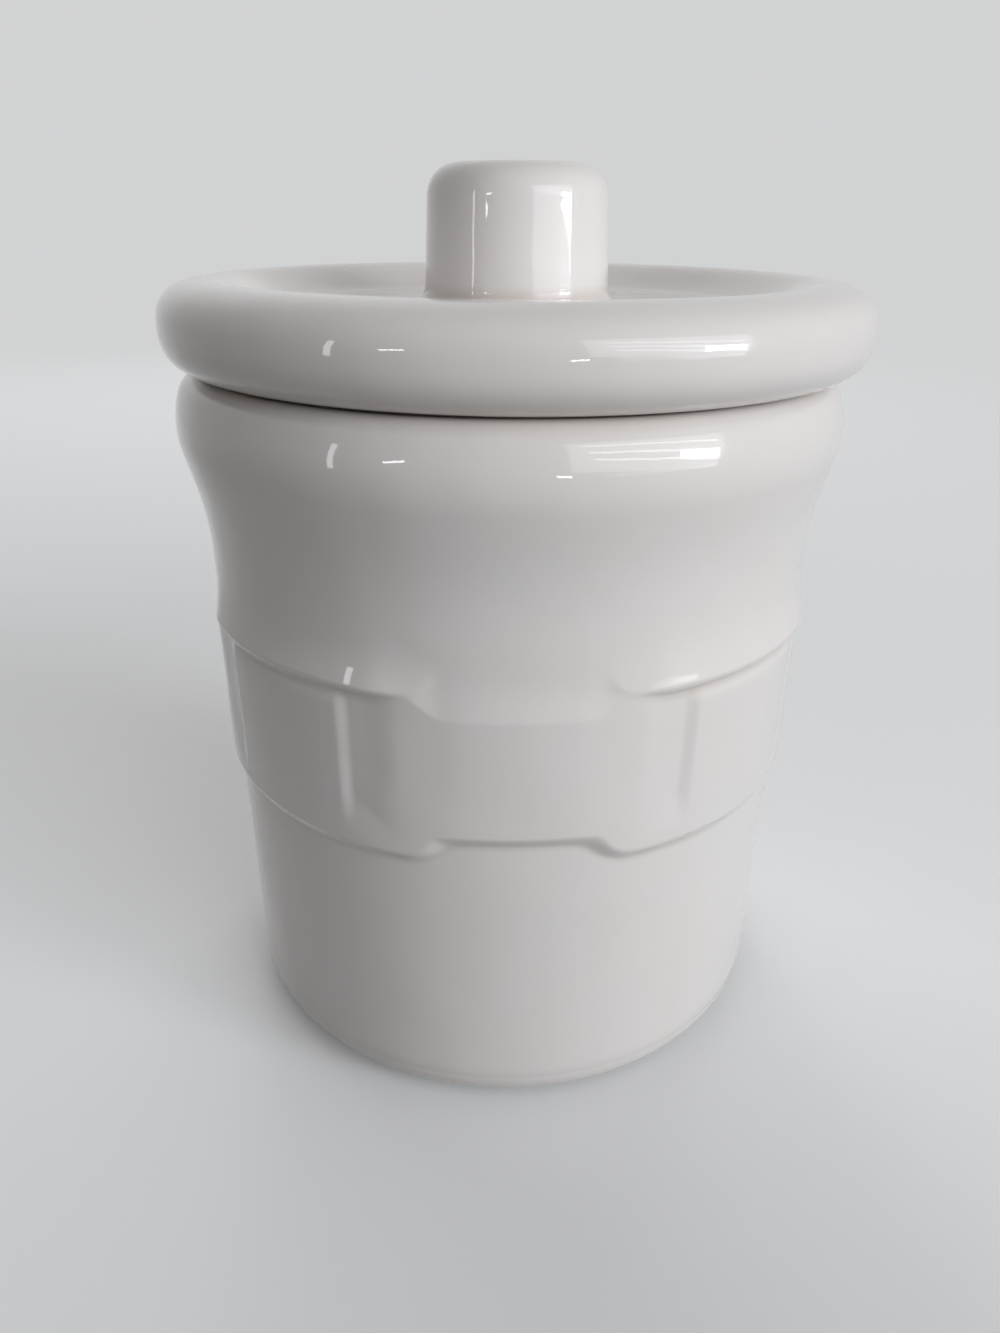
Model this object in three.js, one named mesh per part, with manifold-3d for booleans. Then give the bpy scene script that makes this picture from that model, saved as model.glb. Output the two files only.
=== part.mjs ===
// Condiment crock: a glazed slip-cast jar with a woven relief band, and its loose lid.
// Millimetres and degrees. +Z is up, the jar's axis is Z and its foot ring stands on Z = 0.
// The middle of one plain-over stretch of the woven band faces -Y.
import * as THREE from "three";
import { mergeVertices } from "three/addons/utils/BufferGeometryUtils.js";
import Module from "manifold-3d";

// Jar: foot, wall and floor
const jarHeight = 115;
const baseRadius = 48.8; // the plain wall carried down to the table
const baseRounding = 6.7;
const wallDraft = 0.0165; // how much the radius grows for each millimetre of height
const wallThickness = 5;
const floorThickness = 5;
const innerFloorRounding = 8;
const footRingWidth = 4.6;
const footRecessDepth = 1.5;
const footRecessRounding = 1.2;

// Jar: neck and rolled rim
const neckDrop = 29; // from the top of the rim down to the neck, where the flare begins
const rimFlare = 3.4; // how far the rim stands out beyond the neck
const rimWidestDrop = 7.6; // from the top of the rim down to its widest point
const rimFaceRadius = 14.5; // the gentle roundness of the rim's outer face
const flareStraight = 4.9; // straight stretch between the hollow of the flare and the rim's face
const rimCornerDrop = 2.5; // where the rounded face turns over into the top
const mouthFlare = 0.9; // how far the inside opens between neck and mouth
const mouthRounding = 2.4;

// Woven band: four repeats, each with a stretch of belt that passes over and a stake that passes over
const weaveRepeats = 4;
const bandHeight = 26.4; // from the lower ledge, beside the belt stretch, to the lip of the tongues
const beltRise = 4; // the lower ledge is this much higher under the belt stretch
const beltTopDrop = 2.5; // the belt's top edge is this much below the lip of the tongues
const tipRounding = 4; // rounded corner of the belt's finger tips and of the tongue tips
const beltRelief = 1.35; // belt over the plain wall
const beltDip = 0.4; // how far the belt sinks as it goes under a stake
const stakeRelief = 1.4; // stake over the plain wall
const upperSpread = 0.42; // the upper body and the neck over the plain wall
const tongueNose = 0.5; // tongue over the upper body, at its tip
const tongueSwell = 1.1; // and what it gains towards the stake
const tongueHeight = 9.4; // from the tongue's lip to where it has faded into the neck
const ledgeHeight = 1.9; // height over which the ledges and lips rise
const rollStart = 2.5; // the belt's lower part is plain up to here
const rollHeight = 10.5; // and up to here the stakes and dips come in
const shoulderHeight = 7; // above the belt stretch, from its top edge to the upper body

// Woven band: where things change, as shares of half a repeat, from the middle of a belt stretch
const tipShare = 0.305; // finger tips and tongue tips
const beltTopShares = [0.26, 0.42]; // the belt's top edge rises and goes under the tongue
const tongueNoseShares = [0.3, 0.36];
const tongueSwellShares = [0.33, 0.56];
const beltDipShares = [0.43, 0.59];
const stakeEdgeShares = [0.6, 0.69];

// Lid: rolled ring, dish and knob
const lidSeatGap = 0.3; // running gap between lid and rim
const lidSeatPlay = 3.2; // radial play of the locating flange in the mouth
const lidShift = 1; // how far the loose lid has slid in that play, towards +X
const lidOverhang = 2; // lid ring beyond the jar's rim
const ringWidth = 16.5; // of the rolled ring's section
const ringHeight = 13.2;
const ringSquareness = 2.53; // 2 would be an ellipse
const dishDepth = 4.1; // from the ring's top to the dish floor
const dishSlopeWidth = 10.8;
const lidThickness = 5;
const flangeWidth = 4.5;
const flangeDepth = 5;
const flangeRounding = 1;
const knobHeight = 20.6; // above the dish floor
const knobTopRadius = 14.1;
const knobDraft = 0.046; // how much the knob widens for each millimetre down
const knobCornerRadius = 4.8;
const knobCrown = 0.3;
const knobFootRounding = 2.6;
const knobWall = 5.2;
const knobHollowRounding = 3;

// How finely round forms are faceted
const turnSteps = 60;
const arcSteps = 4;
const ringSteps = 14;
const slopeSteps = 5;
const cutOverrun = 5; // how far a cutter runs past the faces that it opens

const radians = (angle) => (angle * Math.PI) / 180;
const degrees = (angle) => (angle * 180) / Math.PI;
const mix = (a, b, share) => a + (b - a) * share;

// 0 below a, 1 above b, and a smooth turn between them.
function smooth(value, a, b) {
  const share = Math.min(1, Math.max(0, (value - a) / (b - a)));
  return share * share * (3 - 2 * share);
}

// Points of a round stretch from one angle to another, both ends included.
function arc(centreR, centreZ, radius, from, to, steps = arcSteps) {
  const points = [];
  for (let i = 0; i <= steps; i += 1) {
    const angle = radians(mix(from, to, i / steps));
    points.push([centreR + radius * Math.cos(angle), centreZ + radius * Math.sin(angle)]);
  }
  return points;
}

// Plain outside of the jar, without the woven relief

const footOuterRadius = baseRadius - baseRounding;
const neckHeight = jarHeight - neckDrop;
const tongueTop = neckHeight;
const bandTop = tongueTop - tongueHeight;
const bandBottom = bandTop - bandHeight;
const wallRadius = (z) => baseRadius + wallDraft * z;
const neckRadius = wallRadius(neckHeight) + upperSpread;
const rimWidestHeight = jarHeight - rimWidestDrop;
const rimRadius = neckRadius + rimFlare;

// The flare is a hollow arc that leaves the neck upright, a short straight that leans out, and the rim's
// rounded face. The lean and the hollow's radius follow from how far the rim is out from the neck.
const flareRise = rimWidestHeight - neckHeight;
const flareLean = 2 * Math.atan(rimFlare / (flareRise + flareStraight));
const bothRadii =
  (flareRise * Math.sin(flareLean) - rimFlare * Math.cos(flareLean)) / (1 - Math.cos(flareLean));
const flareArcRadius = bothRadii - rimFaceRadius;

function upperOutside() {
  const flareAngle = degrees(flareLean);
  const hollow = arc(neckRadius + flareArcRadius, neckHeight, flareArcRadius, 180, 180 - flareAngle);
  const faceCentre = rimRadius - rimFaceRadius;
  const cornerHeight = jarHeight - rimCornerDrop;
  const cornerAngle = Math.asin((cornerHeight - rimWidestHeight) / rimFaceRadius);
  const cornerDegrees = degrees(cornerAngle);
  const face = arc(faceCentre, rimWidestHeight, rimFaceRadius, -flareAngle, cornerDegrees, arcSteps + 2);
  // The corner arc starts where the face ends, in the same direction, and ends level at the rim's top.
  const cornerRadius = rimCornerDrop / (1 - Math.sin(cornerAngle));
  const [faceEndR, faceEndZ] = face[face.length - 1];
  const corner = arc(
    faceEndR - cornerRadius * Math.cos(cornerAngle),
    faceEndZ - cornerRadius * Math.sin(cornerAngle),
    cornerRadius,
    cornerDegrees,
    90,
  );
  return [...hollow.slice(1), ...face, ...corner.slice(1)];
}

// Woven relief

const halfRepeat = 180 / weaveRepeats;

// The angle's share of half a repeat: 0 in the middle of a belt stretch, 1 in the middle of a stake.
function weaveShare(angle) {
  const turned = Math.abs(angle % (2 * halfRepeat));
  return Math.min(turned, 2 * halfRepeat - turned) / halfRepeat;
}

const halfRepeatLength = radians(halfRepeat) * wallRadius(mix(bandBottom, bandTop, 0.5));
const tipRoundingShare = tipRounding / halfRepeatLength;
const beltTop = (share) => bandTop + mix(-beltTopDrop, ledgeHeight / 2, smooth(share, ...beltTopShares));

// How far inside a corner a point is, from how far in it is along the wall and up. The corner is rounded.
function insideTip(share, up) {
  const alongLeft = tipRounding - (share - tipShare) * halfRepeatLength;
  const upLeft = tipRounding - up;
  const outer = Math.hypot(Math.max(alongLeft, 0), Math.max(upLeft, 0));
  return tipRounding - outer - Math.min(Math.max(alongLeft, upLeft), 0);
}

// How much higher a ledge lies in the rounding of a tip than beside it.
function tipRise(share) {
  const left = Math.min(1, Math.max(0, 1 - (share - tipShare) / tipRoundingShare));
  return tipRounding * (1 - Math.sqrt(1 - left * left));
}

// 1 up to an edge, then a fall that starts steep and dies away over the length above the edge.
function tail(distance, length) {
  const share = Math.min(1, Math.max(0, distance / length));
  return (1 - share) ** 2;
}

// Height of belt and stakes over the plain wall, at middle height.
function middleRelief(share) {
  const belt = beltRelief - beltDip * smooth(share, ...beltDipShares);
  return mix(belt, stakeRelief, smooth(share, ...stakeEdgeShares));
}

// Belt and stakes from their lower ledge up, with the shoulder above that falls back to the upper body.
function beltSurface(share, z) {
  const inside = Math.max(z - bandBottom - beltRise, insideTip(share, z - bandBottom));
  const ledge = smooth(inside, -ledgeHeight / 2, ledgeHeight / 2);
  const belt = ledge * mix(beltRelief, middleRelief(share), smooth(inside, rollStart, rollHeight));
  return mix(upperSpread, belt, tail(z - beltTop(share), shoulderHeight));
}

// Tongues of the upper body: proudest at the lip, and fading upwards into the neck.
function tongueSurface(share, z) {
  const nose = tongueNose * smooth(share, ...tongueNoseShares);
  const swell = tongueSwell * smooth(share, ...tongueSwellShares);
  const lip = smooth(insideTip(share, z - bandTop), -ledgeHeight / 2, ledgeHeight / 2);
  return lip * (upperSpread + (nose + swell) * tail(z - bandTop, tongueHeight));
}

// Rows of a column, as shares of the ledge's height and of the fall above the lip.
const edgeShares = [-0.5, -0.17, 0.17, 0.5];
const tailShares = [0.15, 0.4, 0.7, 1];

// Heights of the rows of one column: close together at the lower ledge and at the lip or top edge.
function bandRows(share) {
  const low = bandBottom + Math.min(beltRise, tipRise(share));
  const high = mix(beltTop(share), bandTop, smooth(share, tipShare, tipShare + tipRoundingShare));
  const rows = [bandBottom - ledgeHeight, ...edgeShares.map((edge) => low + edge * ledgeHeight)];
  rows.push(mix(low, low + rollHeight, 0.5), low + rollHeight);
  rows.push(mix(low + rollHeight, high, 0.5));
  edgeShares.forEach((edge) => rows.push(high + edge * ledgeHeight));
  tailShares.forEach((rise) => rows.push(mix(high + ledgeHeight / 2, tongueTop, rise)));
  return rows;
}

// One column of the jar's outside, from foot to rim, as radius and height.
function outsideColumn(angle) {
  const share = weaveShare(angle);
  const column = arc(footOuterRadius, baseRounding, baseRounding, -90, 0);
  column[column.length - 1][0] = wallRadius(baseRounding);
  bandRows(share).forEach((z) => {
    column.push([wallRadius(z) + Math.max(beltSurface(share, z), tongueSurface(share, z)), z]);
  });
  return [...column, ...upperOutside()];
}

// Places of the columns as shares of half a repeat: close together where the relief changes.
const columnShares = [
  0,
  0.1,
  0.2,
  tipShare,
  tipShare + 0.13 * tipRoundingShare,
  tipShare + 0.5 * tipRoundingShare,
  tipShare + tipRoundingShare,
  0.5,
  stakeEdgeShares[0],
  stakeEdgeShares[1],
  0.79,
  0.9,
];

function columnAngles() {
  const angles = [];
  for (let repeat = 0; repeat < weaveRepeats; repeat += 1) {
    const middle = 2 * halfRepeat * repeat;
    columnShares.forEach((share) => angles.push(middle + share * halfRepeat));
    angles.push(middle + halfRepeat);
    [...columnShares].reverse().forEach((share) => {
      if (share > 0) angles.push(middle + (2 - share) * halfRepeat);
    });
  }
  return angles;
}

// The jar's outside as one closed surface: the columns side by side, capped at foot and rim.
function outsideSurface() {
  const angles = columnAngles();
  const columns = angles.map(outsideColumn);
  const rows = columns[0].length;
  const positions = [];
  columns.forEach((column, i) => {
    const turn = radians(angles[i]);
    column.forEach(([radius, z]) => {
      positions.push(radius * Math.sin(turn), -radius * Math.cos(turn), z);
    });
  });
  const footCentre = positions.length / 3;
  positions.push(0, 0, 0, 0, 0, jarHeight);
  const rimCentre = footCentre + 1;
  const faces = [];
  columns.forEach((column, i) => {
    const here = i * rows;
    const next = ((i + 1) % columns.length) * rows;
    faces.push(footCentre, next, here);
    for (let k = 0; k + 1 < rows; k += 1) {
      faces.push(here + k, next + k, next + k + 1);
      faces.push(here + k, next + k + 1, here + k + 1);
    }
    faces.push(rimCentre, here + rows - 1, next + rows - 1);
  });
  const surface = new THREE.BufferGeometry();
  surface.setAttribute("position", new THREE.Float32BufferAttribute(positions, 3));
  surface.setIndex(faces);
  return surface;
}

// Solids and their cuts

const library = await Module();
library.setup();

// A closed geometry as a solid.
function solidOf(geometry) {
  const plain = geometry.clone();
  plain.deleteAttribute("normal");
  plain.deleteAttribute("uv");
  const merged = mergeVertices(plain);
  return new library.Manifold(
    new library.Mesh({
      numProp: 3,
      vertProperties: new Float32Array(merged.attributes.position.array),
      triVerts: new Uint32Array(merged.index.array),
    }),
  );
}

// A solid back as a geometry.
function geometryOf(solid) {
  const { vertProperties, triVerts } = solid.getMesh();
  const geometry = new THREE.BufferGeometry();
  geometry.setAttribute("position", new THREE.BufferAttribute(vertProperties, 3));
  geometry.setIndex(new THREE.BufferAttribute(triVerts, 1));
  geometry.computeVertexNormals();
  return geometry;
}

// An outline of [radius, height] points, from axis to axis and upwards on the outside, turned round Z.
function revolved(outline) {
  const points = outline.map(([radius, z]) => new THREE.Vector2(Math.max(0, radius), z));
  return new THREE.LatheGeometry(points, turnSteps).rotateX(Math.PI / 2);
}

// Inside of the jar, from the floor up through the mouth
const floorHeight = footRecessDepth + floorThickness;
const innerFloorRadius = wallRadius(floorHeight) - wallThickness;
const innerNeckRadius = neckRadius - wallThickness;
const mouthRadius = innerNeckRadius + mouthFlare;

function insideCutter() {
  const corner = arc(
    innerFloorRadius - innerFloorRounding,
    floorHeight + innerFloorRounding,
    innerFloorRounding,
    -90,
    0,
  );
  const lip = arc(mouthRadius + mouthRounding, jarHeight - mouthRounding, mouthRounding, 180, 90);
  const lipRadius = mouthRadius + mouthRounding;
  const outline = [
    [0, floorHeight],
    ...corner,
    [innerNeckRadius, neckHeight],
    ...lip,
    [lipRadius, jarHeight + cutOverrun],
    [0, jarHeight + cutOverrun],
  ];
  return revolved(outline);
}

// Hollow under the jar, inside the foot ring
function footCutter() {
  const recessRadius = footOuterRadius - footRingWidth;
  const corner = arc(
    recessRadius - footRecessRounding,
    footRecessDepth - footRecessRounding,
    footRecessRounding,
    0,
    90,
  );
  const outline = [[0, -cutOverrun], [recessRadius, -cutOverrun], ...corner, [0, footRecessDepth]];
  return revolved(outline);
}

function crockBody() {
  return solidOf(outsideSurface()).subtract(solidOf(insideCutter())).subtract(solidOf(footCutter()));
}

// Lid: heights from the rim upwards
const seatHeight = jarHeight + lidSeatGap;
const ringMiddle = seatHeight + ringHeight / 2;
const ringTop = seatHeight + ringHeight;
const ringCrownRadius = rimRadius + lidOverhang - ringWidth / 2;
const dishFloor = ringTop - dishDepth;
const undersideHeight = dishFloor - lidThickness;
const knobTop = dishFloor + knobHeight;

// The rolled ring's outer half, from its underside round to its top, as a squared ellipse.
function ringOutline() {
  const points = [];
  for (let i = 0; i <= ringSteps; i += 1) {
    const turn = radians(mix(-90, 90, i / ringSteps));
    const out = Math.abs(Math.cos(turn)) ** (2 / ringSquareness);
    const up = Math.sign(Math.sin(turn)) * Math.abs(Math.sin(turn)) ** (2 / ringSquareness);
    points.push([ringCrownRadius + (out * ringWidth) / 2, ringMiddle + (up * ringHeight) / 2]);
  }
  return points;
}

// The dish's slope, from the ring's top in and down to the dish floor, as half a wave.
function dishSlope() {
  const points = [];
  for (let i = 1; i <= slopeSteps; i += 1) {
    const share = i / slopeSteps;
    const drop = (dishDepth * (1 - Math.cos(Math.PI * share))) / 2;
    points.push([ringCrownRadius - dishSlopeWidth * share, ringTop - drop]);
  }
  return points;
}

function knobOutline() {
  const cornerHeight = knobTop - knobCrown - knobCornerRadius;
  const footHeight = dishFloor + knobFootRounding;
  const footRadius = knobTopRadius + knobDraft * (cornerHeight - footHeight);
  const foot = arc(footRadius + knobFootRounding, footHeight, knobFootRounding, 270, 180, arcSteps - 1);
  const crownReach = knobTopRadius - knobCornerRadius;
  const corner = arc(crownReach, cornerHeight, knobCornerRadius, 0, 90);
  const crownRadius = (crownReach ** 2 + knobCrown ** 2) / (2 * knobCrown);
  const crownAngle = degrees(Math.asin(crownReach / crownRadius));
  const crown = arc(0, knobTop - crownRadius, crownRadius, 90 - crownAngle, 90, arcSteps - 1);
  return [...foot, ...corner, ...crown.slice(1)];
}

// Underside, from the hollow in the knob out to the locating flange and the seat.
function lidUnderside() {
  const hollowTop = knobTop - knobWall;
  const hollowRadius = knobTopRadius - knobWall;
  const hollowFootRadius = hollowRadius + knobDraft * (hollowTop - undersideHeight);
  const hollow = arc(
    hollowRadius - knobHollowRounding,
    hollowTop - knobHollowRounding,
    knobHollowRounding,
    90,
    0,
    arcSteps - 1,
  );
  const flangeOuter = mouthRadius - lidSeatPlay;
  const flangeInner = flangeOuter - flangeWidth;
  const flangeFoot = seatHeight - flangeDepth;
  const inner = arc(
    flangeInner + flangeRounding,
    flangeFoot + flangeRounding,
    flangeRounding,
    180,
    270,
    arcSteps - 1,
  );
  const outer = arc(
    flangeOuter - flangeRounding,
    flangeFoot + flangeRounding,
    flangeRounding,
    270,
    360,
    arcSteps - 1,
  );
  const root = arc(
    flangeOuter + flangeRounding,
    seatHeight - flangeRounding,
    flangeRounding,
    180,
    90,
    arcSteps - 1,
  );
  return [
    [0, hollowTop],
    ...hollow,
    [hollowFootRadius, undersideHeight],
    [flangeInner, undersideHeight],
    ...inner,
    ...outer,
    ...root,
  ];
}

function lidGeometry() {
  const outline = [...lidUnderside(), ...ringOutline(), ...dishSlope(), ...knobOutline()];
  return revolved(outline);
}

// Looks: ivory glaze, high gloss
const ivoryGlaze = { color: 0xe9e2d6, roughness: 0.12, metalness: 0 };

function glazedPiece(name, geometry) {
  const piece = new THREE.Mesh(geometry, new THREE.MeshStandardMaterial(ivoryGlaze));
  piece.name = name;
  return piece;
}

const condimentCrock = new THREE.Group();
condimentCrock.name = "condiment_crock";
condimentCrock.add(glazedPiece("crock_body", geometryOf(crockBody())));

const lid = glazedPiece("lid", lidGeometry());
lid.position.x = lidShift;
condimentCrock.add(lid);

export default condimentCrock;
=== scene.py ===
# %% [markdown]
# # A condiment crock in ivory glaze
# The real crock is two fired pieces of slip-cast stoneware under one thick, glossy glaze: a jar with a
# woven band in low relief round its wall, and a loose lid with a rolled edge, a dished top and a knob.
# The construction model already holds both at their real size. This lesson gives them the surface that
# a potter would recognise: soft edges where glaze has run, crisp ledges in the weave, and a bare foot.

# %% Load the frame and keep its box
import math

import bpy
import numpy as np
from mathutils import Matrix, Quaternion, Vector


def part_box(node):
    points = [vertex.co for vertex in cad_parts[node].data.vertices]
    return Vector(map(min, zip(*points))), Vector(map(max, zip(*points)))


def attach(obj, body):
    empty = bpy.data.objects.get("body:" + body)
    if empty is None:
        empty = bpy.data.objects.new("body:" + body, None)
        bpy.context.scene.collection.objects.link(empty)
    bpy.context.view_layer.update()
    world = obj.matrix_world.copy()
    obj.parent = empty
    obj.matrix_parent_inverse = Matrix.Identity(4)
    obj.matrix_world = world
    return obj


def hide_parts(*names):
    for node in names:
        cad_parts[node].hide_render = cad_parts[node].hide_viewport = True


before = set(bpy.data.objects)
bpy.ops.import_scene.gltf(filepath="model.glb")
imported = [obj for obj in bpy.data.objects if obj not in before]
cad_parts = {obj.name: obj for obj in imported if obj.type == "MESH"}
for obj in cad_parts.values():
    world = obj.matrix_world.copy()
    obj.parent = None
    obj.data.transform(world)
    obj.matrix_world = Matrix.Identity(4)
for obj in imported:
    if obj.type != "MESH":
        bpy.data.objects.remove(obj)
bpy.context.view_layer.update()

# %% [markdown]
# ## Read the sizes that the frame already holds
# A piece that replaces a construction solid must fill the same space, so its outer sizes are measured on
# that solid and never typed again. Only the fine sizes of the relief and the roundings are values here.
# They are in millimetres, because that is how a mould maker reads a drawing.

# %% Outer sizes, in millimetres
MM = 0.001
jar_low, jar_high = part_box("crock_body")
lid_low, lid_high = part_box("lid")

jar_height = jar_high.z / MM
rim_radius = (jar_high.y - jar_low.y) / 2 / MM
lid_radius = (lid_high.y - lid_low.y) / 2 / MM
lid_top = lid_high.z / MM
lid_shift = (lid_high.x + lid_low.x) / 2 / MM
print(f"jar {jar_height:.1f} high, rim radius {rim_radius:.2f}, lid radius {lid_radius:.2f}")

# %% [markdown]
# ## Set the camera first
# Everything is compared with the photograph, so the camera comes before the shapes. It stands close above
# the rim, about 17 cm from the jar's axis, and looks down, with a focal length as long as the picture is
# wide. That closeness is what makes the jar seem to taper towards its foot.

# %% Camera
picture_width = 1000
focal_pixels = 1000
sensor_width = 36.0
camera_place = Vector((-1.2, -172.0, 138.0)) * MM
camera_tilt = 0.428
camera_roll = 0.007
camera_orbit = -1.9
nearest_view = 10 * MM

camera_data = bpy.data.cameras.new("camera")
camera_data.sensor_fit = "HORIZONTAL"
camera_data.sensor_width = sensor_width
camera_data.lens = sensor_width * focal_pixels / picture_width
camera_data.clip_start = nearest_view
camera = bpy.data.objects.new("camera", camera_data)
bpy.context.scene.collection.objects.link(camera)
turn_down = Matrix.Rotation(math.pi / 2 - camera_tilt, 4, "X")
turn_roll = Matrix.Rotation(camera_roll, 4, "Z")
orbit = Matrix.Rotation(math.radians(camera_orbit), 4, "Z")
camera.matrix_world = orbit @ Matrix.Translation(camera_place) @ turn_down @ turn_roll
bpy.context.scene.camera = camera
print("camera at", [round(v / MM, 1) for v in camera_place], "mm, lens", camera_data.lens)

# %% [markdown]
# ## Helpers for turned forms
# Both pieces are turned forms. A turned form is an outline of radius and height carried round the axis, so
# three small helpers do most of the work: a smooth step, an arc, and a skin that carries rows of points
# round the axis. A modifier could screw an outline round too, but the woven band needs a radius that also
# changes with the angle, and rows of points allow that.

# %% Smooth step, mix and arc


def smooth(value, low, high):
    """0 below low, 1 above high, and a smooth turn between them."""
    share = np.clip((value - low) / (high - low), 0.0, 1.0)
    return share * share * (3 - 2 * share)


def mix(first, second, share):
    return first + (second - first) * share


def arc(centre_r, centre_z, radius, start, end, steps):
    """Radius and height of points on an arc, angles in degrees, both ends included."""
    angles = np.radians(np.linspace(start, end, steps + 1))
    return [(centre_r + radius * math.cos(a), centre_z + radius * math.sin(a)) for a in angles]


def straight(first, last, steps):
    """Points from first to last, without the first."""
    shares = np.linspace(0, 1, steps + 1)[1:]
    return [(mix(first[0], last[0], s), mix(first[1], last[1], s)) for s in shares]


# %% Skin of rows carried round the axis


def turned_skin(name, radii, heights, angles, axis_x=0.0):
    """A closed mesh from rows of radius and height, one value for each angle. Its first and last rows
    are single points on the axis. Angle 0 faces -Y, and angles grow towards +X."""
    rows, columns = radii.shape
    x = radii * np.sin(angles) + axis_x
    y = -radii * np.cos(angles)
    body = np.stack([x, y, heights], -1)[1:-1].reshape(-1, 3)
    ends = [(axis_x, 0.0, heights[0, 0]), (axis_x, 0.0, heights[-1, 0])]
    points = np.concatenate([body, np.array(ends)]) * MM
    first_end = (rows - 2) * columns
    here = np.arange(columns)
    after = np.roll(here, -1)
    faces = []
    for row in range(rows - 3):
        low = row * columns
        high = low + columns
        faces.extend(zip(low + here, low + after, high + after, high + here))
    top = (rows - 3) * columns
    faces.extend((first_end, b, a) for a, b in zip(here, after))
    faces.extend((first_end + 1, top + a, top + b) for a, b in zip(here, after))
    mesh = bpy.data.meshes.new(name)
    mesh.from_pydata(points.tolist(), [], [tuple(int(i) for i in face) for face in faces])
    mesh.validate()
    mesh.polygons.foreach_set("use_smooth", [True] * len(mesh.polygons))
    mesh.update()
    piece = bpy.data.objects.new(name, mesh)
    bpy.context.scene.collection.objects.link(piece)
    print(name, "has", len(mesh.vertices), "vertices and", len(mesh.polygons), "faces")
    return piece


# %% [markdown]
# ## Marks for the glaze
# Molten glaze runs off edges and gathers in hollow lines, where it looks deeper and warmer. The darkening
# in those lines is partly that deeper glaze and partly painted shade. Glaze also has to be wiped off
# wherever a piece stands in the kiln. Both depend on the shape, so each vertex carries two marks that the
# material reads: how hollow the surface is there, and how bare the clay is.

# %% Hollowness of an outline, and marks on the vertices

pool_reach = 1.5
shortest_chord = pool_reach / 10


def outline_hollows(outline):
    """How far each point of an outline lies behind the middle of its neighbours, positive in a hollow."""
    points = np.array(outline, dtype=float)
    steps = np.hypot(*np.diff(points, axis=0).T)
    travel = np.concatenate([[0], np.cumsum(steps)])
    before = [np.interp(travel - pool_reach, travel, points[:, i]) for i in (0, 1)]
    after = [np.interp(travel + pool_reach, travel, points[:, i]) for i in (0, 1)]
    middle = np.stack([(b + a) / 2 for b, a in zip(before, after)], -1) - points
    along = np.stack([a - b for b, a in zip(before, after)], -1)
    length = np.maximum(np.hypot(*along.T), shortest_chord)
    return (middle[:, 0] * along[:, 1] - middle[:, 1] * along[:, 0]) / length


def mark_vertices(piece, name, rows):
    """Store one value for each vertex of a turned skin, from rows that match its radii."""
    values = np.concatenate([rows[1:-1].ravel(), [rows[0, 0], rows[-1, 0]]])
    attribute = piece.data.attributes.new(name, "FLOAT", "POINT")
    attribute.data.foreach_set("value", values.astype(np.float32))
    print(piece.name, name, "from", round(float(values.min()), 2), "to", round(float(values.max()), 2))


# %% [markdown]
# ## The jar's plain wall, neck and rim
# The jar was cast in a plaster mould, so its wall leans out a little to leave the mould. Above the band it
# draws in to a shallow neck and flares to a rolled rim. A designer draws this with arcs that meet in the
# same direction, because glaze shows every kink in its reflections.

# %% Values of the jar's outline
wall_draft = 0.0165
tongue_top = 86.0
rim_flare = 3.4
upper_spread = 0.42
neck_radius = rim_radius - rim_flare
base_radius = neck_radius - upper_spread - wall_draft * tongue_top
base_rounding = 6.7
rim_widest_drop = 7.6
rim_widest = jar_height - rim_widest_drop
rim_face_radius = 14.5
rim_corner_drop = 2.5
flare_straight = 4.9
wall_thickness = 5.0
mouth_flare = 0.9
mouth_rounding = 2.4
floor_height = 6.5
inner_floor_rounding = 8.0
foot_ring_width = 4.6
foot_recess = 1.5
foot_edge = 0.6
recess_step = 1.2
recess_rounding = 0.9
foot_outer = base_radius - base_rounding
foot_inner = foot_outer - foot_ring_width
print(f"neck radius {neck_radius:.2f}, base radius {base_radius:.2f}")
print(f"foot ring {2 * foot_inner:.1f} to {2 * foot_outer:.1f} across")


def wall_radius(height):
    return base_radius + wall_draft * height


# %% Outline under the foot and round the base edge


def under_foot():
    """From the axis, out over the glazed recess, over the bare foot ring and up the base edge."""
    recess_end = foot_inner - recess_step
    recess = [(0.0, foot_recess)] + straight((0.0, foot_recess), (recess_end, foot_recess), steps=12)
    step_in = arc(recess_end, foot_recess - recess_rounding, recess_rounding, 90, 10, steps=8)[1:]
    ring_in = arc(foot_inner + foot_edge, foot_edge, foot_edge, 180, 270, steps=6)
    ring = straight(ring_in[-1], (foot_outer - foot_edge, 0.0), steps=6)
    base = arc(foot_outer, base_rounding, base_rounding, -90, 0, steps=36)
    return recess + step_in + ring_in + ring + base[:-1]


print("foot outline has", len(under_foot()), "points")

# %% Outline of the flare and the rolled rim


def upper_outline():
    """From the neck, round the hollow of the flare, over the rim and into the mouth."""
    rise = rim_widest - tongue_top
    lean = 2 * math.atan(rim_flare / (rise + flare_straight))
    both = (rise * math.sin(lean) - rim_flare * math.cos(lean)) / (1 - math.cos(lean))
    hollow_radius = both - rim_face_radius
    lean_degrees = math.degrees(lean)
    hollow = arc(neck_radius + hollow_radius, tongue_top, hollow_radius, 180, 180 - lean_degrees, steps=24)
    corner_sine = (jar_height - rim_corner_drop - rim_widest) / rim_face_radius
    corner = math.degrees(math.asin(corner_sine))
    face = arc(rim_radius - rim_face_radius, rim_widest, rim_face_radius, -lean_degrees, corner, steps=28)
    corner_radius = rim_corner_drop / (1 - corner_sine)
    corner_r = face[-1][0] - corner_radius * math.cos(math.radians(corner))
    corner_z = face[-1][1] - corner_radius * corner_sine
    rim_corner = arc(corner_r, corner_z, corner_radius, corner, 90, steps=14)
    return hollow[1:] + straight(hollow[-1], face[0], steps=6)[:-1] + face + rim_corner[1:]


# %% Outline of the mouth, the inside wall and the floor


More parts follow.
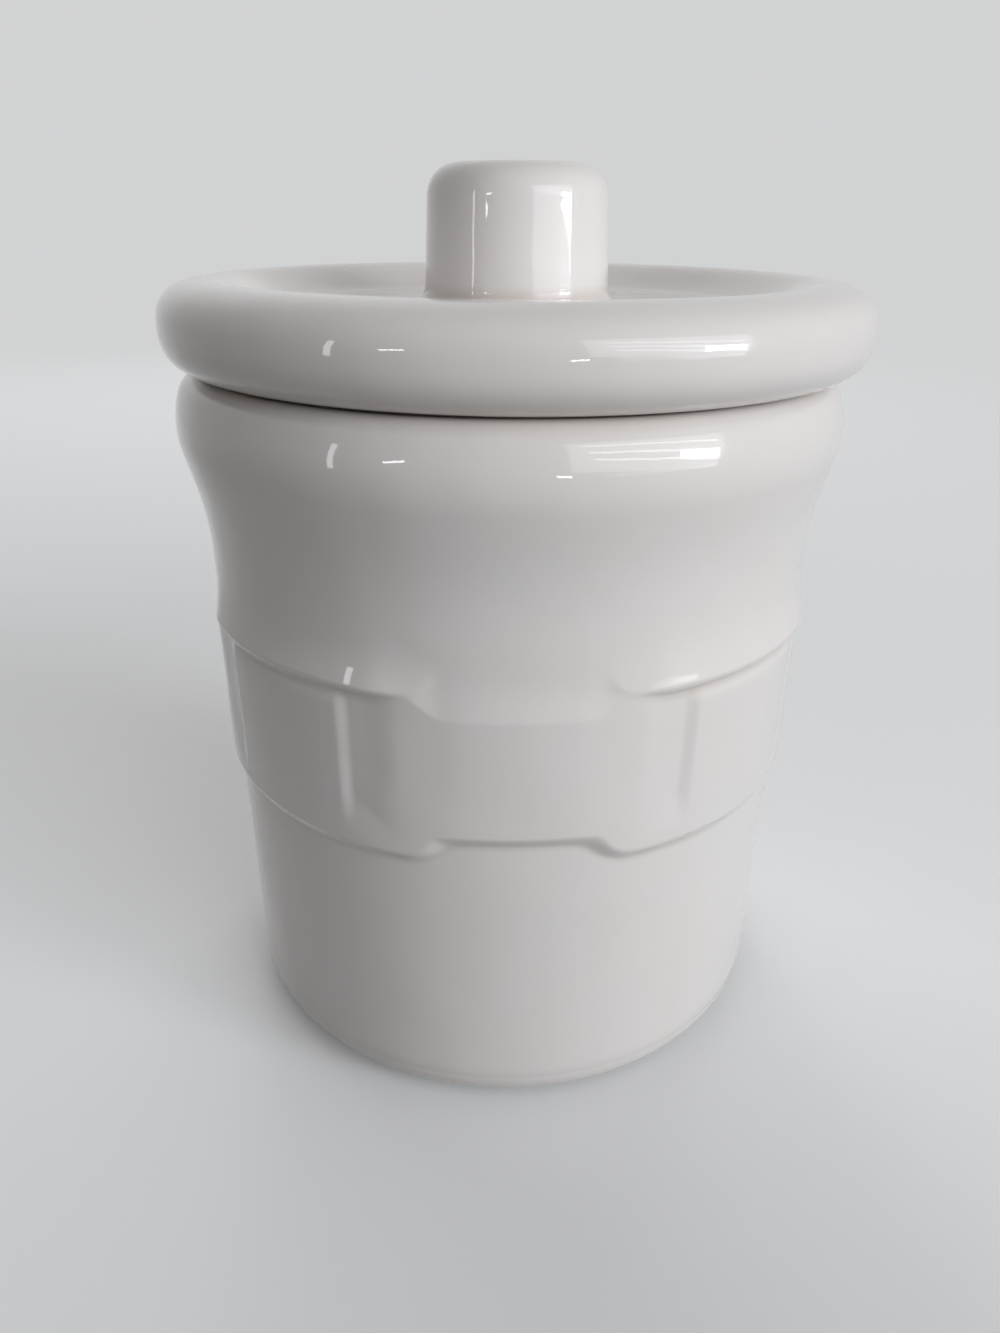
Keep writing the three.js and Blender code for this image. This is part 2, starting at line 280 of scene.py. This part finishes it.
def inside_outline():
    inner_neck = neck_radius - wall_thickness
    mouth = inner_neck + mouth_flare
    lip = arc(mouth + mouth_rounding, jar_height - mouth_rounding, mouth_rounding, 90, 180, steps=12)
    inner_floor = wall_radius(floor_height) - wall_thickness
    corner_centre = inner_floor - inner_floor_rounding
    corner = arc(corner_centre, floor_height + inner_floor_rounding, inner_floor_rounding, 0, -90, steps=16)
    down_neck = straight(lip[-1], (inner_neck, tongue_top), steps=8)
    down_wall = straight((inner_neck, tongue_top), corner[0], steps=16)[:-1]
    floor = straight(corner[-1], (0.0, floor_height), steps=14)
    return lip + down_neck + down_wall + corner + floor


print("rim outline", len(upper_outline()), "points, inside outline", len(inside_outline()), "points")

# %% [markdown]
# ## The woven band
# The band imitates a basket. In each quarter a stretch of flat belt passes over and stands proud of the
# wall above and below it. Beside it the belt dips and goes behind a wide upright stake, and the body above
# swells into a tongue with a rounded tip that hangs over both, where the stake dips in its turn. A bump map
# could only shade this, so the band is real relief: a height over the plain wall, as a function of the
# place round and up the wall.

# %% Values of the woven band, in millimetres and degrees
weave_repeats = 4
repeat_angle = 360 / weave_repeats
wall_middle = 51.0
belt_low = 53.9
side_low = 49.9
finger_start = 12.1
finger_corner = 4.2
finger_lean = 0.7
finger_hollow = 1.8
edge_root = 1.1
edge_round = 1.5
belt_relief = 1.35
belt_ease = 0.1
belt_dip = 0.4
stake_relief = 1.4
stake_dip = 0.4
stake_dip_length = 2.7
roll_start = 2.5
roll_height = 10.5
belt_top = 74.1
side_top = 77.2
shoulder_length = 7.0
shoulder_rounding = 1.3
lip_height = 76.4
lip_root = 1.1
lip_round = 1.5
tongue_start = 12.2
tongue_corner = 4.0
tongue_nose = 0.9
tongue_swell = 0.95
nose_length = 6.5
tongue_length = 9.6
spread_ease = 1.0
belt_tongue_blend = 0.2
belt_ease_places = (9, 15)
belt_dip_places = (19.5, 26.5)
stake_edge_places = (28.3, 31.1)
belt_top_places = (12, 19)
nose_places = (14, 24)
swell_places = (15, 25)

# %% Heights of the woven band


def weave_place(angles):
    """Angle in degrees from the middle of the nearest belt stretch, never below 0."""
    turned = np.mod(np.degrees(angles), repeat_angle)
    return np.minimum(turned, repeat_angle - turned)


def inside_corner(across, up, corner):
    """Distance inside a quarter plane with a rounded corner, from how far across and up a point is."""
    q_across = corner - across
    q_up = corner - up
    outer = np.hypot(np.maximum(q_across, 0), np.maximum(q_up, 0))
    return corner - outer - np.minimum(np.maximum(q_across, q_up), 0)


def soft_larger(first, second, softness):
    """The larger of two values with a soft turn between them, up to half the softness lower."""
    return (first + second + np.sqrt((first - second) ** 2 + softness**2) - softness) / 2


def tail(distance, length, rounding):
    """1 below an edge, then a fall that starts steep and dies away over the length above it."""
    share = np.clip(soft_larger(distance, 0, rounding) / length, 0, 1)
    return (1 - share) ** 2


def middle_relief(place, heights):
    """Belt and stakes over the plain wall. The belt dips beside a stake, a stake dips under a tongue."""
    belt = belt_relief - belt_ease * smooth(place, *belt_ease_places)
    belt = belt - belt_dip * smooth(place, *belt_dip_places)
    stake = stake_relief - stake_dip * smooth(heights, lip_height - stake_dip_length, lip_height)
    return mix(belt, stake, smooth(place, *stake_edge_places))


def band_relief(angles, heights):
    """Height of the band over the plain wall."""
    place = weave_place(angles)
    along = np.radians(place) * wall_middle
    finger = inside_corner(finger_lean * (along - finger_start), heights - side_low, finger_corner)
    inside_low = soft_larger(heights - belt_low, finger, finger_hollow) + finger_hollow / 2
    roll = smooth(inside_low, roll_start, roll_height)
    belt = mix(belt_relief, middle_relief(place, heights), roll) * smooth(inside_low, -edge_root, edge_round)
    top = mix(belt_top, side_top, smooth(place, *belt_top_places))
    shoulder = tail(heights - top, shoulder_length, shoulder_rounding)
    fade_length = mix(nose_length, tongue_length, smooth(place, *nose_places))
    fade = tail(heights - lip_height, fade_length, lip_round)
    inside_lip = inside_corner(along - tongue_start, heights - lip_height, tongue_corner)
    tongue = tongue_nose + tongue_swell * smooth(place, *swell_places)
    upper = upper_spread * smooth(heights, belt_top - spread_ease, belt_top + spread_ease)
    upper = upper + fade * tongue * smooth(inside_lip, -lip_root, lip_round)
    under = mix(upper_spread, belt, shoulder)
    return soft_larger(under, upper, belt_tongue_blend)


middle_height = (belt_low + belt_top) / 2
belt_and_stake = band_relief(np.radians([0, repeat_angle / 2]), middle_height)
print("belt and stake stand", belt_and_stake.round(2), "mm over the wall")

# %% Hollowness of the woven band, from the relief a little way off on each side


def band_hollows():
    levels = wall_heights[:, None] + 0 * column_angles[None, :]
    turns = column_angles[None, :] + 0 * levels
    turn_reach = pool_reach / wall_middle
    around = band_relief(turns, levels - pool_reach) + band_relief(turns, levels + pool_reach)
    around = around + band_relief(turns - turn_reach, levels) + band_relief(turns + turn_reach, levels)
    return around / 4 - band_relief(turns, levels)


# %% Rows and columns, close together where the relief turns


def stops(pairs):
    """Values from the first stop to the last, each pair giving a stop and the step that leads to it."""
    values = [pairs[0][0]]
    for (low, _), (high, step) in zip(pairs[:-1], pairs[1:]):
        count = max(1, round((high - low) / step))
        values.extend(np.linspace(low, high, count + 1)[1:])
    return np.array(values)


place_stops = [(0, 0), (9, 1.3), (12, 0.5), (20, 0.25), (26, 0.7), (32, 0.4), (repeat_angle / 2, 1.3)]
half_places = stops(place_stops)
repeat_places = np.concatenate([half_places, repeat_angle - half_places[-2:0:-1]])
repeats = [repeat_places + repeat_angle * repeat for repeat in range(weave_repeats)]
column_angles = np.radians(np.concatenate(repeats))
columns = len(column_angles)
row_stops = [(base_rounding, 0), (47.4, 1.6), (48.8, 0.4), (56.5, 0.2), (60, 0.6), (73, 1.1), (79, 0.2)]
wall_heights = stops(row_stops + [(85, 0.35), (tongue_top, 0.5)])
print(columns, "columns and", len(wall_heights), "rows in the wall")


# %% Build the jar


def plain_rows(outline):
    return [(np.full(columns, r), np.full(columns, z)) for r, z in outline]


def wall_rows():
    rows = []
    for height in wall_heights:
        level = np.full(columns, height)
        rows.append((wall_radius(height) + band_relief(column_angles, level), level))
    return rows


jar_rows = plain_rows(under_foot()) + wall_rows() + plain_rows(upper_outline())
jar_rows += plain_rows(inside_outline()[1:])
jar_radii = np.array([row[0] for row in jar_rows])
jar_heights = np.array([row[1] for row in jar_rows])
jar = turned_skin("glazed_jar", jar_radii, jar_heights, column_angles)

plain = [(row[0].mean(), row[1][0]) for row in jar_rows]
jar_hollows = np.repeat(outline_hollows(plain)[:, None], columns, axis=1)
first_wall = len(under_foot())
last_wall = first_wall + len(wall_heights)
jar_hollows[first_wall:last_wall] = band_hollows()
mark_vertices(jar, "hollow", jar_hollows)
on_foot = (jar_heights < foot_edge) & (jar_radii > foot_inner)
mark_vertices(jar, "bare_clay", on_foot * (1 - smooth(jar_heights, foot_edge / 4, foot_edge)))
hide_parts("crock_body")
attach(jar, "crock")

# %% [markdown]
# ## The lid
# The lid is one casting too: a fat rolled edge, a dish whose slope leaves the edge and meets the floor
# without a line, and a knob with a soft corner and a rounded foot. Underneath, a flange hangs into the
# mouth and keeps the lid on the jar. The edge's section is a squared ellipse, fuller than a true one.

# %% Values of the lid's outline
flange_foot = lid_low.z / MM
flange_height = 5.0
seat_height = flange_foot + flange_height
ring_width = 16.5
ring_height = 13.2
ring_squareness = 2.53
ring_crown = lid_radius - ring_width / 2
ring_top = seat_height + ring_height
dish_depth = 4.1
dish_floor = ring_top - dish_depth
dish_slope_width = 10.8
knob_top_radius = 14.1
knob_draft = 0.046
knob_corner = 4.8
knob_crown = 0.3
knob_foot = 2.6
knob_wall = 5.2
lid_thickness = 5.0
flange_play = 3.2
flange_outer = neck_radius - wall_thickness + mouth_flare - flange_play
flange_width = 4.5
flange_rounding = 1.0
flange_root = 1.5
hollow_rounding = 3.0
hollow_edge = 1.2
bare_full = flange_foot + 0.2
bare_end = flange_foot + 0.7
print(f"flange foot {flange_foot:.1f}, seat {seat_height:.1f}, dish floor {dish_floor:.1f} up")

# %% Outline of the lid's underside


def lid_underside():
    """From the axis in the knob's hollow, over the underside and the flange, to the seat."""
    underside = dish_floor - lid_thickness
    hollow_top = lid_top - knob_wall
    hollow_radius = knob_top_radius - knob_wall
    hollow_foot = hollow_radius + knob_draft * (hollow_top - underside)
    flange_inner = flange_outer - flange_width
    edge_height = flange_foot + flange_rounding
    rounding_r = hollow_radius - hollow_rounding
    rounding_z = hollow_top - hollow_rounding
    hollow = arc(rounding_r, rounding_z, hollow_rounding, 90, 0, steps=10)
    mouth = arc(hollow_foot + hollow_edge, underside + hollow_edge, hollow_edge, 180, 270, steps=6)
    inner_root = arc(flange_inner - flange_root, underside - flange_root, flange_root, 90, 0, steps=6)
    inner = arc(flange_inner + flange_rounding, edge_height, flange_rounding, 180, 270, steps=8)
    outer = arc(flange_outer - flange_rounding, edge_height, flange_rounding, 270, 360, steps=8)
    root_r = flange_outer + flange_rounding
    root = arc(root_r, seat_height - flange_rounding, flange_rounding, 180, 90, steps=8)
    centre = [(0.0, hollow_top)] + straight((0.0, hollow_top), hollow[0], steps=5)
    down = straight(hollow[-1], mouth[0], steps=10)[:-1]
    across = straight(mouth[-1], inner_root[0], steps=14)[:-1]
    return centre + hollow[1:] + down + mouth + across + inner_root + inner + outer + root


# %% Outline of the rolled edge, the dish and the knob

edge_points = 65
slope_points = 25


def lid_topside():
    """From the seat, round the rolled edge, down the dish's slope and up the knob to the axis."""
    edge = []
    for turn in np.radians(np.linspace(-90, 90, edge_points)):
        out = abs(math.cos(turn)) ** (2 / ring_squareness)
        up = math.copysign(abs(math.sin(turn)) ** (2 / ring_squareness), math.sin(turn))
        edge.append((ring_crown + out * ring_width / 2, seat_height + (1 + up) * ring_height / 2))
    slope = []
    for share in np.linspace(0, 1, slope_points)[1:]:
        drop = dish_depth * (1 - math.cos(math.pi * share)) / 2
        slope.append((ring_crown - dish_slope_width * share, ring_top - drop))
    corner_height = lid_top - knob_crown - knob_corner
    foot_height = dish_floor + knob_foot
    foot_radius = knob_top_radius + knob_draft * (corner_height - foot_height)
    foot = arc(foot_radius + knob_foot, foot_height, knob_foot, 270, 180, steps=10)
    dish = straight(slope[-1], foot[0], steps=16)[:-1]
    side = straight(foot[-1], (knob_top_radius, corner_height), steps=12)[:-1]
    crown_reach = knob_top_radius - knob_corner
    corner = arc(crown_reach, corner_height, knob_corner, 0, 90, steps=20)
    crown_radius = (crown_reach**2 + knob_crown**2) / (2 * knob_crown)
    crown_angle = math.degrees(math.asin(crown_reach / crown_radius))
    crown = arc(0.0, lid_top - crown_radius, crown_radius, 90 - crown_angle, 90, steps=12)
    return edge + slope + dish + foot + side + corner + crown[1:]


print("lid outline has", len(lid_underside()), "points below and", len(lid_topside()), "above")

# %% Build the lid

lid_outline = np.array(lid_underside() + lid_topside())
lid_columns = 360
lid_angles = np.linspace(0, 2 * math.pi, lid_columns, endpoint=False)
lid_radii = np.repeat(lid_outline[:, :1], lid_columns, axis=1)
lid_heights = np.repeat(lid_outline[:, 1:], lid_columns, axis=1)
lid = turned_skin("glazed_lid", lid_radii, lid_heights, lid_angles, axis_x=lid_shift)
mark_vertices(lid, "hollow", np.repeat(outline_hollows(lid_outline)[:, None], lid_columns, axis=1))
mark_vertices(lid, "bare_clay", 1 - smooth(lid_heights, bare_full, bare_end))
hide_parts("lid")
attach(lid, "lid")

# %% [markdown]
# ## The ivory glaze
# A glaze is a layer of glass over pale clay. Light that enters is scattered by the clay and gives the
# ivory colour, and light that doesn't enter gives sharp reflections. A coat layer over a softer base does
# the same. Real glaze is never flat: it ran while molten, so its surface has very shallow waves.

# %% Helper for material nodes


def new_material(name):
    material = bpy.data.materials.new(name)
    material.use_nodes = True
    nodes = material.node_tree.nodes
    links = material.node_tree.links
    return material, nodes, links, nodes["Principled BSDF"]


def colour_mix(nodes, links, first, second, factor):
    """Mix two colours, each a value or a socket, by a factor socket."""
    mixer = nodes.new("ShaderNodeMix")
    mixer.data_type = "RGBA"
    links.new(factor, mixer.inputs["Factor"])
    for colour, socket in ((first, mixer.inputs["A"]), (second, mixer.inputs["B"])):
        if isinstance(colour, tuple):
            socket.default_value = colour
        else:
            links.new(colour, socket)
    return mixer.outputs["Result"]


def seen_ray(nodes, links):
    """1 for rays that show a surface to the camera, straight or by reflection, and 0 for bounced light."""
    path = nodes.new("ShaderNodeLightPath")
    seen = path.outputs["Is Camera Ray"]
    for name in ("Is Glossy Ray", "Is Transmission Ray"):
        either = nodes.new("ShaderNodeMath")
        either.operation = "MAXIMUM"
        links.new(seen, either.inputs[0])
        links.new(path.outputs[name], either.inputs[1])
        seen = either.outputs["Value"]
    return seen


def noise(nodes, links, coordinates, scale, detail):
    texture = nodes.new("ShaderNodeTexNoise")
    texture.inputs["Scale"].default_value = scale
    texture.inputs["Detail"].default_value = detail
    links.new(coordinates, texture.inputs["Vector"])
    return texture.outputs["Fac"]


# %% Colours of glaze and clay, and how nodes mix them

glaze_warm = (0.80, 0.752, 0.715, 1)
glaze_pale = (0.79, 0.754, 0.738, 1)
# Colour of the hollow lines: partly glaze that pooled there, partly painted shade.
pooled_glaze_and_shade = (0.52, 0.435, 0.37, 1)
clay = (0.74, 0.66, 0.56, 1)
pool_and_shade_start = 0.05
pool_and_shade_full = 0.35
pool_and_shade_strength = 0.4
mottle_scale = 45.0
mottle_detail = 4.0
mottle_low = 0.35
mottle_high = 0.65
wave_scale = 80.0
wave_detail = 1.5
wave_strength = 0.55
wave_height = 0.4 * MM
glaze_roughness = 0.28
clay_roughness = 0.85
under_coat_shine = 0.1
coat_roughness = 0.02


def spread(nodes, links, value, low, high, new_low, new_high, soft=False):
    """Carry a value from one range to another, held at its ends, with a soft start and end if asked."""
    ranger = nodes.new("ShaderNodeMapRange")
    if soft:
        ranger.interpolation_type = "SMOOTHSTEP"
    links.new(value, ranger.inputs["Value"])
    for name, number in zip(("From Min", "From Max", "To Min", "To Max"), (low, high, new_low, new_high)):
        ranger.inputs[name].default_value = number
    return ranger.outputs["Result"]


def vertex_mark(nodes, name):
    reader = nodes.new("ShaderNodeAttribute")
    reader.attribute_name = name
    return reader.outputs["Fac"]


# %% Glaze material

glaze, nodes, links, shader = new_material("ivory_glaze")
place = nodes.new("ShaderNodeTexCoord").outputs["Object"]
mottle = noise(nodes, links, place, mottle_scale, mottle_detail)
mottle = spread(nodes, links, mottle, mottle_low, mottle_high, 0.0, 1.0)
tint = colour_mix(nodes, links, glaze_warm, glaze_pale, mottle)
# Hollow lines darken towards the deep colour, partly as pooled glaze and partly as painted shade.
pool_and_shade = spread(nodes, links, vertex_mark(nodes, "hollow"), pool_and_shade_start, pool_and_shade_full, 0.0, pool_and_shade_strength)
pooled_and_shaded = colour_mix(nodes, links, tint, pooled_glaze_and_shade, pool_and_shade)
bare = vertex_mark(nodes, "bare_clay")
links.new(colour_mix(nodes, links, pooled_and_shaded, clay, bare), shader.inputs["Base Color"])
roughness = spread(nodes, links, bare, 0.0, 1.0, glaze_roughness, clay_roughness)
links.new(roughness, shader.inputs["Roughness"])
links.new(spread(nodes, links, bare, 0.0, 1.0, 1.0, 0.0), shader.inputs["Coat Weight"])
shader.inputs["Specular IOR Level"].default_value = under_coat_shine
shader.inputs["Coat Roughness"].default_value = coat_roughness
waves = nodes.new("ShaderNodeBump")
waves.inputs["Strength"].default_value = wave_strength
waves.inputs["Distance"].default_value = wave_height
links.new(noise(nodes, links, place, wave_scale, wave_detail), waves.inputs["Height"])
links.new(waves.outputs["Normal"], shader.inputs["Normal"])
links.new(waves.outputs["Normal"], shader.inputs["Coat Normal"])
jar.data.materials.append(glaze)
lid.data.materials.append(glaze)
print("glaze has", len(nodes), "nodes on", jar.name, "and", lid.name)

# %% [markdown]
# ## Floor and room
# A photographer would stand the crock on pale paper that runs on until no horizon shows. A flat disc does
# that from every side if it fades, far from the crock, into the very colour of the room behind it. Near
# the crock it stays real paper and keeps the shadow. Bounced light meets a darker paper than the camera
# does, because a white table would fill every hollow of the weave with light and hide it.

# %% Pale paper that fades into the room

floor_radius = 8.0
floor_corners = 96
fade_start = 0.2
fade_end = 1.1
room_seen = (0.64, 0.644, 0.65, 1)
room_light = (0.099, 0.093, 0.085, 1)
paper_seen = (0.80, 0.804, 0.81, 1)
paper_bounce = (0.146, 0.14, 0.134, 1)
black = (0.0, 0.0, 0.0, 1)
paper_glow = 0.12
paper_roughness = 0.9

floor_mesh = bpy.data.meshes.new("floor")
turns = np.linspace(0, 2 * math.pi, floor_corners, endpoint=False)
floor_edge = [(floor_radius * math.cos(turn), floor_radius * math.sin(turn), 0.0) for turn in turns]
floor_mesh.from_pydata(floor_edge, [], [tuple(range(len(floor_edge)))])
floor = bpy.data.objects.new("floor", floor_mesh)
bpy.context.scene.collection.objects.link(floor)

paper, nodes, links, shader = new_material("pale_paper")
seen = seen_ray(nodes, links)
distance = nodes.new("ShaderNodeVectorMath")
distance.operation = "LENGTH"
links.new(nodes.new("ShaderNodeTexCoord").outputs["Object"], distance.inputs[0])
far = spread(nodes, links, distance.outputs["Value"], fade_start, fade_end, 0.0, 1.0, soft=True)
near_colour = colour_mix(nodes, links, paper_bounce, paper_seen, seen)
links.new(colour_mix(nodes, links, near_colour, black, far), shader.inputs["Base Color"])
glow = nodes.new("ShaderNodeMath")
glow.operation = "MULTIPLY"
links.new(seen, glow.inputs[0])
links.new(spread(nodes, links, far, 0.0, 1.0, paper_glow, 1.0), glow.inputs[1])
shader.inputs["Emission Color"].default_value = room_seen
links.new(glow.outputs["Value"], shader.inputs["Emission Strength"])
shader.inputs["Roughness"].default_value = paper_roughness
shader.inputs["Specular IOR Level"].default_value = 0.0
floor_mesh.materials.append(paper)
print("paper fades into the room between", fade_start, "and", fade_end, "m from the crock")

# %% [markdown]
# ## Light
# A glossy glaze is read by what it mirrors. A low key light from the right models the weave without hard
# shadows under its ledges. A wide, faint panel with thin slats beside it gives the barred highlight on the
# rim, and its lowest slat also shows on the tongues of the weave. Small strips add the glints that tell a
# wet-looking glaze from a satin one. Lamps that only lift the shadows aren't mirrored at all, and two of
# them stand behind the crock to keep its far side readable.

# %% Helpers for lamps

middle_of_jar = Vector((0, 0, 80)) * MM


def lamp_place(side, rise, distance):
    """A place seen from the jar at an angle from the front towards the right, and an angle above level."""
    level = distance * math.cos(math.radians(rise))
    x = level * math.sin(math.radians(side))
    y = -level * math.cos(math.radians(side))
    return middle_of_jar + Vector((x, y, distance * math.sin(math.radians(rise))))


def soft_box(name, place, size, power, colour, reflected=True, turn=0):
    """An area lamp that faces the jar, turned in its own plane, and seen in the glaze or not."""
    lamp = bpy.data.lights.new(name, "AREA")
    lamp.shape = "RECTANGLE"
    lamp.size, lamp.size_y = size
    lamp.energy = power
    lamp.color = colour
    holder = bpy.data.objects.new(name, lamp)
    holder.location = lamp_place(*place)
    facing = (middle_of_jar - holder.location).to_track_quat("-Z", "Y")
    holder.rotation_euler = (facing @ Quaternion((0, 0, 1), math.radians(turn))).to_euler()
    holder.visible_glossy = reflected
    holder.visible_camera = False
    bpy.context.scene.collection.objects.link(holder)


# %% Lamps: side and rise in degrees, distance, width and height in metres, power in watts

day_white = (0.93, 0.962, 1.0)
cool_white = (0.97, 0.985, 1.0)

soft_box("key_light", (60, 10, 1.4), (0.34, 0.17), 4.8, day_white, turn=-8)
soft_box("soft_light", (44, 22, 1.7), (1.7, 1.2), 5.5, day_white, reflected=False)
soft_box("soft_panel", (44, 18, 1.7), (1.6, 1.05), 10.0, day_white, turn=-7)
for slat, rise in enumerate((10, 17, 25)):
    soft_box(f"slat_{slat}", (46, rise, 1.6), (1.3, 0.05), 0.85, day_white, turn=-14)
soft_box("low_slat", (46, -0.5, 1.6), (1.2, 0.06), 0.35, day_white)
soft_box("top_light", (30, 65, 1.3), (0.8, 0.8), 1.5, cool_white, reflected=False)
soft_box("left_strip", (-58, 6, 1.4), (0.06, 0.6), 0.6, cool_white)
soft_box("left_glint", (-38, 10, 1.5), (0.2, 0.06), 0.5, day_white, turn=20)
soft_box("low_glint", (15, 0, 1.5), (0.14, 0.05), 0.3, day_white)
soft_box("back_light", (172, 30, 1.6), (1.4, 1.0), 8.0, cool_white, reflected=False)
soft_box("far_fill", (-155, 25, 1.6), (1.2, 1.0), 9.0, cool_white, reflected=False)

# %% World

world = bpy.data.worlds.new("soft_room")
world.use_nodes = True
nodes = world.node_tree.nodes
links = world.node_tree.links
background = nodes["Background"]
seen = seen_ray(nodes, links)
links.new(colour_mix(nodes, links, room_light, room_seen, seen), background.inputs["Color"])
bpy.context.scene.world = world
bpy.context.scene.view_settings.view_transform = "Standard"
print("the room looks", room_seen[:3], "and lights the crock with", room_light[:3])
